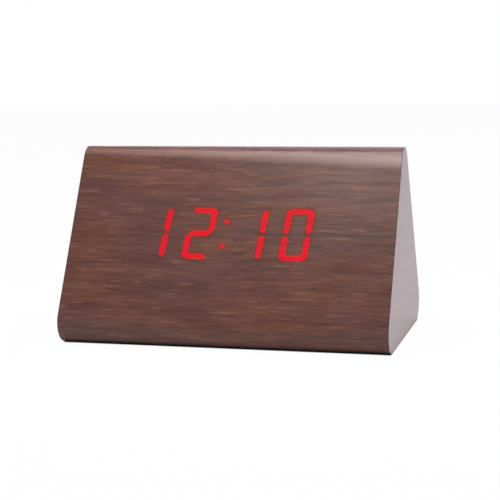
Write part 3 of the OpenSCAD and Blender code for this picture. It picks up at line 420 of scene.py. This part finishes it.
# The end pieces have fainter grain under a smooth lacquer, with a faint blue bloom at a low angle
end_film = walnut_film(
    "lacquered_walnut_film", base="#703c2d", turn=math.radians(90), figure=0.24, emboss=0.001 * MM, gloss=0.3)
end_lacquer = {
    "Coat Weight": 0.36, "Coat Roughness": 0.25,
    "Sheen Weight": 0.12, "Sheen Roughness": 0.4, "Sheen Tint": linear("#a9b8ff")}
for socket, value in end_lacquer.items():
    end_film.node_tree.nodes["Principled BSDF"].inputs[socket].default_value = value
dress(end_film, "left_end_film", "right_end_film")

# Lit digits: light pipes of red acrylic stand flush in windows of the film, and their light spreads in the
# lacquer over them, which joins the bars at their corners and softens their edges.
# The lacquer is a thin skin on the front slope; each of its points keeps how much light reaches it.
lamp_apart = 7 * MM
skin_cell = 0.2 * MM
skin_margin = 1.6 * MM
skin_t = 0.04 * MM
probe = 1 * MM
slit = 0.42 * MM
colon_x = -1.9 * MM
colon_reach = 2.5 * MM
end_inset = 0.9 * MM
end_fill = 1.2 * MM
end_slant = math.tan(math.radians(4.5))
spread = 0.5 * MM
spread_reach = 3
least_light = 0.08
lit_levels = (0.03, 0.95)
glow_power = 1.15
hide_power = 1.5

pipes, tree, shader, place = begin("lit_red_acrylic")
lamps_under = add(tree, "TexNoise", {"Vector": place, "Scale": 1 / lamp_apart, "Detail": 1})
red = add(tree, "MixRGB", {
    "Fac": lamps_under.outputs["Fac"], "Color1": linear("#d81a2c"), "Color2": linear("#ff1c2e")})
shader.inputs["Base Color"].default_value = linear("#200306")
shader.inputs["Specular IOR Level"].default_value = 0.1
shader.inputs["Roughness"].default_value = 0.6
tree.links.new(red.outputs[0], shader.inputs["Emission Color"])
shader.inputs["Emission Strength"].default_value = 1
dress(pipes, "lit_segments")

# The buttons press square to the rear slope, and the front slope mirrors it
press = next(joint["axis"] for joint in frame["joints"] if joint["name"] == "set_press")
front_out = Vector((0, press[1], -press[2]))
front_up = Vector((0, front_out.z, -front_out.y))
tilt = math.atan2(-front_out.y, front_out.z)
bars = frame["nodes"]["lit_segments"]
points = [v.co for v in bars.data.vertices]
face_level = max(p.dot(front_out) for p in points)
skin_left = min(p.x for p in points) - skin_margin
skin_right = max(p.x for p in points) + skin_margin
skin_low = min(p.dot(front_up) for p in points) - skin_margin
skin_high = max(p.dot(front_up) for p in points) + skin_margin
skin_middle = Vector(((skin_left + skin_right) / 2, 0, 0)) + (skin_low + skin_high) / 2 * front_up
columns = round((skin_right - skin_left) / skin_cell)
rows = round((skin_high - skin_low) / skin_cell)

bpy.ops.object.select_all(action="DESELECT")
bpy.ops.mesh.primitive_grid_add(x_subdivisions=columns, y_subdivisions=rows, size=1)
skin = bpy.context.object
skin.name = "digit_glow"
skin.scale = (skin_right - skin_left, skin_high - skin_low, 1)
skin.rotation_euler = (tilt, 0, 0)
skin.location = skin_middle + face_level * front_out
bpy.ops.object.transform_apply(location=True, rotation=True, scale=True)
over_bar = [
    bars.ray_cast(v.co + probe * front_out, -front_out, distance=2 * probe)[0] for v in skin.data.vertices]
field = np.array(over_bar, float).reshape(-1, columns + 1)

# Light crosses the narrow slits where bars meet
slit_cells = range(-round(slit / skin_cell), round(slit / skin_cell) + 1)
steps = [(i, j) for i in slit_cells for j in slit_cells if math.hypot(i, j) * skin_cell <= slit]
for gather in (np.max, np.min):
    field = gather([np.roll(field, step, (0, 1)) for step in steps], axis=0)

# The colon's round dots light one cell more of the lacquer round them than the bars do
cell_x = np.linspace(skin_left, skin_right, columns + 1)
beside = [(0, 0), (0, 1), (0, -1), (1, 0), (-1, 0)]
grown = np.max([np.roll(field, step, (0, 1)) for step in beside], axis=0)
field = np.where(np.abs(cell_x - colon_x) < colon_reach, grown, field)

# Light fills the mitred end of an upright as far as the place of the bar that crosses there
row_middle = rows / 2
from_middle = np.abs(np.arange(len(field)) - row_middle) * skin_cell
limit = (skin_high - skin_low) / 2 - skin_margin - end_inset
at_end = ((from_middle > limit - end_fill) & (from_middle <= limit))[:, None]
upper = (np.arange(len(field)) > row_middle)[:, None]
filled = field
for k in range(1, round(end_fill / skin_cell) + 1):
    sideways = round(k * end_slant)
    risen = np.roll(field, (k, sideways), (0, 1))
    sunk = np.roll(field, (-k, -sideways), (0, 1))
    filled = np.maximum(filled, np.where(upper, risen, sunk) * at_end)
field = filled

# Then it spreads evenly
reach = int(spread_reach * spread / skin_cell)
curve = np.exp(-0.5 * (np.arange(-reach, reach + 1) * skin_cell / spread) ** 2)
curve /= curve.sum()
for axis in (0, 1):
    field = np.apply_along_axis(np.convolve, axis, field, curve, "same")
lit_points = field.ravel()
skin.data.attributes.new("light", "FLOAT", "POINT").data.foreach_set("value", lit_points)

# Lacquer that no light reaches is left off, and the rest gets its thickness
bpy.ops.object.mode_set(mode="EDIT")
bpy.ops.mesh.select_all(action="DESELECT")
bpy.ops.mesh.select_mode(type="FACE")
bpy.ops.object.mode_set(mode="OBJECT")
for face in skin.data.polygons:
    face.select = bool(max(lit_points[i] for i in face.vertices) < least_light)
bpy.ops.object.mode_set(mode="EDIT")
bpy.ops.mesh.delete(type="FACE")
bpy.ops.object.mode_set(mode="OBJECT")
wall = skin.modifiers.new("lacquer", "SOLIDIFY")
wall.thickness = skin_t
wall.offset = 1
bpy.ops.object.modifier_apply(modifier="lacquer")

# The lacquer carries the film's print, a little paler with a painted reflection that makes up for the gloss
# its low specular leaves out, until its light hides the print
lacquer = wrapped_film("lit_walnut_lacquer")
tree = lacquer.node_tree
shader = tree.nodes["Principled BSDF"]
light = add(tree, "Attribute", attribute_name="light").outputs["Fac"]
lit = add(tree, "MapRange", {"Value": light, "From Min": lit_levels[0], "From Max": lit_levels[1]})
through = add(tree, "Math", {0: lit.outputs[0], 1: glow_power}, operation="POWER").outputs[0]
hidden = add(tree, "Math", {0: through, 1: hide_power}, operation="POWER").outputs[0]
wood = shader.inputs["Base Color"].links[0].from_socket
# The added grey is a painted reflection, in place of the film's gloss
wood = add(tree, "MixRGB", {
    "Fac": 1, "Color1": wood, "Color2": linear("#1d1c1c")}, blend_type="ADD").outputs[0]
shaded = add(tree, "MixRGB", {"Fac": hidden, "Color1": wood, "Color2": linear("#1c0508")})
tree.links.new(shaded.outputs[0], shader.inputs["Base Color"])
tree.links.remove(shader.inputs["Specular IOR Level"].links[0])
shader.inputs["Specular IOR Level"].default_value = 0.1
shader.inputs["Emission Color"].default_value = linear("#ec0322")
tree.links.new(through, shader.inputs["Emission Strength"])
skin.data.materials.append(lacquer)
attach(skin, "case")

# Dark bars, reflector and lamp chips: the rest of the display, under the film.
# The bars are milky acrylic, the reflector white moulded plastic, and each chip a ceramic body.
# A mould leaves its edges rounded by a fraction of a millimetre, which catches the light.
mould_round = 0.25 * MM
mould_cloud = 14 * MM
mould_vary = 0.07
noise_span = (0.3, 0.7)


def moulded(name, dark, pale, rough, grit, depth):
    """Moulded plastic: two close tones in soft clouds, and the grit that a spark-eroded mould leaves."""
    material, tree, shader, place = begin(name)
    clouds = add(tree, "TexNoise", {"Vector": place, "Scale": 1 / mould_cloud, "Detail": 3})
    tone = add(tree, "MixRGB", {
        "Fac": clouds.outputs["Fac"], "Color1": linear(dark), "Color2": linear(pale)})
    tree.links.new(tone.outputs[0], shader.inputs["Base Color"])
    pits = add(tree, "TexNoise", {"Vector": place, "Scale": 1 / grit, "Detail": 2}).outputs["Fac"]
    dull = add(tree, "MapRange", {
        "Value": pits, "From Min": noise_span[0], "From Max": noise_span[1],
        "To Min": rough - mould_vary, "To Max": rough + mould_vary})
    tree.links.new(dull.outputs[0], shader.inputs["Roughness"])
    soft_edge = add(tree, "Bevel", {"Radius": mould_round}, samples=4)
    grain = add(tree, "Bump", {
        "Height": pits, "Strength": 0.6, "Distance": depth, "Normal": soft_edge.outputs[0]})
    tree.links.new(grain.outputs[0], shader.inputs["Normal"])
    return material


milky = moulded("milky_acrylic", "#d6d0c6", "#e9e5de", 0.28, 0.6 * MM, 0.004 * MM)
milky.node_tree.nodes["Principled BSDF"].inputs["IOR"].default_value = 1.49
dress(milky, "dark_segments")
dress(moulded("white_abs", "#dededa", "#f0efeb", 0.45, 0.3 * MM, 0.01 * MM), "display_reflector")
dress(moulded("led_ceramic", "#d8cfae", "#efe7cf", 0.4, 0.2 * MM, 0.01 * MM), "led_chips")

# Circuit boards: glass-fibre laminate under green solder mask, with copper tracks that show paler through it.
# The tracks are drawn 1.2 mm apart and follow each board's slope.
track_step = 1.2 * MM
track_l = 9 * track_step
track_w = 0.22 * MM
track_rise = 0.035 * MM
weave_step = 0.5 * MM


def circuit_board(name, turn):
    """Solder mask over tracks, laid on a board that is turned about X."""
    board, tree, shader, place = begin(name)
    flat = add(tree, "Mapping", {"Vector": place, "Rotation": (turn, 0, 0)}).outputs[0]
    tracks = add(tree, "TexBrick", {
        "Vector": flat, "Scale": 1, "Mortar Size": track_w, "Mortar Smooth": 0.2,
        "Brick Width": track_l, "Row Height": track_step,
        "Color1": linear("#10482c"), "Color2": linear("#0d3f27"), "Mortar": linear("#2b7a4b")},
        offset=0.37, squash=0.7, squash_frequency=3)
    weave = add(tree, "TexNoise", {"Vector": flat, "Scale": 1 / weave_step, "Detail": 2})
    mask = add(tree, "MixRGB", {
        "Fac": weave.outputs["Fac"], "Color1": tracks.outputs["Color"], "Color2": linear("#155235")})
    tree.links.new(mask.outputs[0], shader.inputs["Base Color"])
    gloss = add(tree, "MapRange", {"Value": weave.outputs["Fac"], "To Min": 0.2, "To Max": 0.38})
    tree.links.new(gloss.outputs[0], shader.inputs["Roughness"])
    raised = add(tree, "Bump", {"Height": tracks.outputs["Fac"], "Strength": 0.5, "Distance": track_rise})
    tree.links.new(raised.outputs[0], shader.inputs["Normal"])
    return board


dress(circuit_board("front_solder_mask", -tilt), "display_board")
dress(circuit_board("rear_solder_mask", tilt), "button_board")

# Screws: rolled steel under bright zinc plate, which is patchy and a little blue.
# Fine turning lines run across it.
plate_patch = 2.5 * MM
turned_stretch = 12
turned_dull = 0.16
turned_rise = 0.006 * MM


def plated(name, tone, patch, rough, line):
    """Plated metal: patches of a second tone, and fine lines of a given width and many times as long."""
    metal, tree, shader, place = begin(name)
    patches = add(tree, "TexNoise", {"Vector": place, "Scale": 1 / plate_patch, "Detail": 3})
    colour = add(tree, "MixRGB", {
        "Fac": patches.outputs["Fac"], "Color1": linear(tone), "Color2": linear(patch)})
    tree.links.new(colour.outputs[0], shader.inputs["Base Color"])
    shader.inputs["Metallic"].default_value = 1
    lines = add(tree, "TexNoise", {
        "Vector": add(tree, "Mapping", {
            "Vector": place, "Scale": (1 / (turned_stretch * line), 1 / line, 1 / line)}).outputs[0],
        "Scale": 1, "Detail": 2})
    dull = add(tree, "MapRange", {
        "Value": lines.outputs["Fac"], "From Min": noise_span[0], "From Max": noise_span[1],
        "To Min": rough, "To Max": rough + turned_dull})
    tree.links.new(dull.outputs[0], shader.inputs["Roughness"])
    drawn = add(tree, "Bump", {"Height": lines.outputs["Fac"], "Strength": 0.3, "Distance": turned_rise})
    tree.links.new(drawn.outputs[0], shader.inputs["Normal"])
    return metal


dress(plated("zinc_plate", "#c3c6ca", "#9fa4ab", 0.28, 0.12 * MM),
      "display_screws", "panel_screws", "button_board_screws", "battery_box_screws")

# Controller chip: a black epoxy body with two rows of tinned legs, soldered to the back of the display board.
# The legs start where the body ends, 3.75 mm from the middle of the chip.
chip_low, chip_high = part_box("controller_chip")
chip_middle = ((chip_low + chip_high) / 2).dot(front_up)
chip_half = 3.75 * MM
chip = moulded("chip_epoxy", "#161618", "#222225", 0.6, 0.15 * MM, 0.01 * MM)
tree = chip.node_tree
shader = tree.nodes["Principled BSDF"]
place = add(tree, "TexCoord").outputs["Object"]
up_slope = add(tree, "VectorMath", {0: place, 1: tuple(front_up)}, operation="DOT_PRODUCT").outputs["Value"]
off_middle = add(tree, "Math", {0: up_slope, 1: chip_middle}, operation="SUBTRACT")
off_middle = add(tree, "Math", {0: off_middle.outputs[0]}, operation="ABSOLUTE")
leg = add(tree, "Math", {0: off_middle.outputs[0], 1: chip_half}, operation="GREATER_THAN").outputs[0]
epoxy = shader.inputs["Base Color"].links[0].from_socket
tinned = add(tree, "MixRGB", {"Fac": leg, "Color1": epoxy, "Color2": linear("#b9b8b2")})
tree.links.new(tinned.outputs[0], shader.inputs["Base Color"])
tree.links.new(leg, shader.inputs["Metallic"])
dress(chip, "controller_chip")

# Nickel pieces: the clock crystal's can, the jack's pin and the battery contacts.
# Bright nickel is a warm, nearly mirror-like plate with faint drawing lines.
nickel = plated("nickel_plate", "#c9c3b7", "#b3aca0", 0.16, 0.2 * MM)
dress(nickel, "quartz_crystal", "jack_centre_pin", "contact_plates", "contact_springs")

# Connectors and ribbon: white nylon shells, and a grey cable of side-by-side cores with one red edge.
# The cores of the ribbon are 1.27 mm apart.
dress(moulded("white_nylon", "#dcd8cb", "#ece9e0", 0.42, 0.25 * MM, 0.008 * MM), "cable_connectors")
core_step = 1.27 * MM
core_relief = 0.5
ribbon_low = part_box("ribbon_cable")[0]
ribbon = moulded("grey_ribbon_pvc", "#8d8d90", "#a3a3a6", 0.4, 0.4 * MM, 0.005 * MM)
tree = ribbon.node_tree
shader = tree.nodes["Principled BSDF"]
across = add(tree, "SeparateXYZ", {"Vector": add(tree, "TexCoord").outputs["Object"]}).outputs["X"]
marked = add(tree, "Math", {0: across, 1: ribbon_low.x + core_step}, operation="LESS_THAN").outputs[0]
grey = shader.inputs["Base Color"].links[0].from_socket
red_edge = add(tree, "MixRGB", {"Fac": marked, "Color1": grey, "Color2": linear("#a3222a")})
tree.links.new(red_edge.outputs[0], shader.inputs["Base Color"])
round_cores = add(tree, "Math", {0: across, 1: core_step / 2}, operation="PINGPONG")
ribs = add(tree, "Bump", {"Height": round_cores.outputs[0], "Strength": 1, "Distance": core_relief})
tree.links.new(ribs.outputs[0], shader.inputs["Normal"])
dress(ribbon, "ribbon_cable")

# Control panel: a black moulded plate screwed into the rear slope, with a fine spark texture.
# Handling has rubbed it a little smoother in patches. The battery box and its door are of the same plastic.
handled_patch = 22 * MM
handled_smooth = -0.12
panel_black = moulded("spark_textured_abs", "#17171a", "#232327", 0.5, 0.35 * MM, 0.03 * MM)
tree = panel_black.node_tree
shader = tree.nodes["Principled BSDF"]
place = add(tree, "TexCoord").outputs["Object"]
handled = add(tree, "TexNoise", {"Vector": place, "Scale": 1 / handled_patch, "Detail": 4, "Roughness": 0.6})
smooth = add(tree, "MapRange", {
    "Value": handled.outputs["Fac"], "From Min": 0.48, "From Max": 0.68,
    "To Min": 0, "To Max": handled_smooth})
dull = shader.inputs["Roughness"].links[0].from_socket
worn = add(tree, "Math", {0: dull, 1: smooth.outputs[0]}, operation="ADD")
tree.links.new(worn.outputs[0], shader.inputs["Roughness"])
dress(panel_black, "control_panel", "battery_box", "battery_door")

# Words on the panel: white ink, printed with a soft pad over each button and over the jack.
# The ink is 0.03 mm thick, and thin enough in places for the black to show through.
ink_t = 0.03 * MM
ink_patch = 0.6 * MM
ink_thinnest = 0.45
word_size = 2.8 * MM
word_rise = 7.2 * MM
weld = 0.001 * MM
rear_out = -Vector(press)
rear_up = Vector((0, -rear_out.z, rear_out.y))
panel_level = max(v.co.dot(rear_out) for v in frame["nodes"]["control_panel"].data.vertices)
words = {"SET": "set_button", "UP": "up_button", "DOWN": "down_button", "DC 5V": "dc_jack"}
print_turn = Matrix((Vector((-1, 0, 0)), rear_up, rear_out)).transposed().to_4x4()

bpy.ops.object.select_all(action="DESELECT")
printed = []
for word, node in words.items():
    node_low, node_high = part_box(node)
    node_middle = (node_low + node_high) / 2
    seat = (
        Vector((node_middle.x, 0, 0))
        + (node_middle.dot(rear_up) + word_rise) * rear_up
        + (panel_level + ink_t / 2) * rear_out
    )
    bpy.ops.object.text_add()
    label = bpy.context.object
    label.data.body = word
    label.data.size = word_size
    label.data.align_x = "CENTER"
    label.data.align_y = "CENTER"
    label.data.extrude = ink_t / 2
    bpy.ops.object.convert(target="MESH")
    label = bpy.context.object
    label.matrix_world = Matrix.Translation(seat) @ print_turn
    printed.append(label)
for label in printed:
    label.select_set(True)
bpy.context.view_layer.objects.active = printed[0]
bpy.ops.object.join()
bpy.ops.object.transform_apply(location=True, rotation=True, scale=True)
words_on_panel = bpy.context.object
words_on_panel.name = "printed_words"
bpy.ops.object.mode_set(mode="EDIT")
bpy.ops.mesh.select_all(action="SELECT")
bpy.ops.mesh.remove_doubles(threshold=weld)
bpy.ops.mesh.normals_make_consistent(inside=False)
bpy.ops.object.mode_set(mode="OBJECT")

ink, tree, shader, place = begin("white_pad_print")
patchy = add(tree, "TexNoise", {"Vector": place, "Scale": 1 / ink_patch, "Detail": 3})
thin = add(tree, "MapRange", {
    "Value": patchy.outputs["Fac"], "From Min": 0.52, "From Max": 0.75, "To Min": 0, "To Max": ink_thinnest})
pale = add(tree, "MixRGB", {
    "Fac": thin.outputs[0], "Color1": linear("#dcdcd8"), "Color2": linear("#3a3a3c")})
tree.links.new(pale.outputs[0], shader.inputs["Base Color"])
shader.inputs["Roughness"].default_value = 0.5
words_on_panel.data.materials.clear()
words_on_panel.data.materials.append(ink)
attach(words_on_panel, "case")

# Buttons, plungers and switches: satin black caps over the tan plungers of three tinned push switches.
# The caps are smoother than the panel round them, so that a finger finds them.
dress(moulded("satin_button_abs", "#1d1d20", "#2b2b2f", 0.36, 0.5 * MM, 0.006 * MM),
      "set_button", "up_button", "down_button")
dress(moulded("plunger_nylon", "#b39a68", "#c6b083", 0.45, 0.3 * MM, 0.006 * MM),
      "set_plunger", "up_plunger", "down_plunger")
dress(plated("tinned_steel", "#b4b4b2", "#92928f", 0.32, 0.15 * MM), "switch_bodies")

# Jack, buzzer and microphone: black nylon and black moulded plastic round the power plug and the sounder,
# and a drawn aluminium can for the microphone.
dress(moulded("jack_nylon", "#111113", "#1b1b1e", 0.38, 0.3 * MM, 0.006 * MM), "dc_jack")
dress(moulded("buzzer_plastic", "#151518", "#212125", 0.42, 0.3 * MM, 0.01 * MM), "buzzer")
dress(plated("drawn_aluminium", "#c2c4c6", "#a7a9ab", 0.3, 0.1 * MM), "microphone")

# Cells: three AAA cells, each a steel can in a plain printed jacket, with a plus and a minus sign.
# The jacket has a pale band at the flat end, and stops short of the nub, where the bare steel shows.
front_low, front_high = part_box("cell_front")
middle_low, middle_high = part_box("cell_middle")
cell_step = (middle_low.y + middle_high.y - front_low.y - front_high.y) / 2
sign_half = 1.4 * MM
sign_line = 0.32 * MM
sign_inset = 6 * MM
pale_end = 11 * MM
bare_end = 2.1 * MM
print_dot = 0.8 * MM


def cell_jacket(name, way, low, high):
    """Jacket of a cell whose nub points to +X (1) or -X (-1)."""
    jacket, tree, shader, place = begin(name)
    at = add(tree, "SeparateXYZ", {"Vector": place})
    along = add(tree, "Math", {0: at.outputs["X"], 1: way}, operation="MULTIPLY").outputs[0]
    aside = add(tree, "Math", {
        0: at.outputs["Y"], 1: cell_step / 2, 2: -cell_step / 2}, operation="WRAP").outputs[0]
    nub_end = max(way * low.x, way * high.x)
    flat_end = min(way * low.x, way * high.x)

    # The signs are bars, and each bar is where two distances are both small
    signs = 0
    for middle, half_x, half_y in (
            (nub_end - sign_inset, sign_half, sign_line), (nub_end - sign_inset, sign_line, sign_half),
            (flat_end + sign_inset, sign_line, sign_half)):
        near_x = add(tree, "Math", {0: along, 1: middle, 2: half_x}, operation="COMPARE").outputs[0]
        near_y = add(tree, "Math", {0: aside, 1: 0, 2: half_y}, operation="COMPARE").outputs[0]
        bar = add(tree, "Math", {0: near_x, 1: near_y}, operation="MULTIPLY").outputs[0]
        signs = add(tree, "Math", {0: signs, 1: bar}, operation="MAXIMUM").outputs[0]
    dots = add(tree, "TexNoise", {"Vector": place, "Scale": 1 / print_dot, "Detail": 3}).outputs["Fac"]
    body = add(tree, "MixRGB", {"Fac": dots, "Color1": linear("#2c3d50"), "Color2": linear("#3a4e64")})
    band = add(tree, "Math", {0: along, 1: flat_end + pale_end}, operation="LESS_THAN").outputs[0]
    body = add(tree, "MixRGB", {"Fac": band, "Color1": body.outputs[0], "Color2": linear("#8f979f")})
    body = add(tree, "MixRGB", {"Fac": signs, "Color1": body.outputs[0], "Color2": linear("#e8e8e4")})
    steel = add(tree, "Math", {0: along, 1: nub_end - bare_end}, operation="GREATER_THAN").outputs[0]
    tone = add(tree, "MixRGB", {"Fac": steel, "Color1": body.outputs[0], "Color2": linear("#c4c4c2")})
    tree.links.new(tone.outputs[0], shader.inputs["Base Color"])
    tree.links.new(steel, shader.inputs["Metallic"])
    dull = add(tree, "MapRange", {"Value": dots, "To Min": 0.2, "To Max": 0.4})
    tree.links.new(dull.outputs[0], shader.inputs["Roughness"])
    return jacket


dress(cell_jacket("printed_jacket_nub_right", 1, front_low, front_high), "cell_front", "cell_rear")
dress(cell_jacket("printed_jacket_nub_left", -1, middle_low, middle_high), "cell_middle")

# Leads: soft plastic insulation on stranded copper, one red and one black, from the contacts to the board.
# The insulation is slightly uneven from its drawing.
dress(moulded("red_pvc", "#a81420", "#bd1c28", 0.35, 0.7 * MM, 0.01 * MM), "red_lead")
dress(moulded("black_pvc", "#121214", "#1d1d20", 0.35, 0.7 * MM, 0.01 * MM), "black_lead")
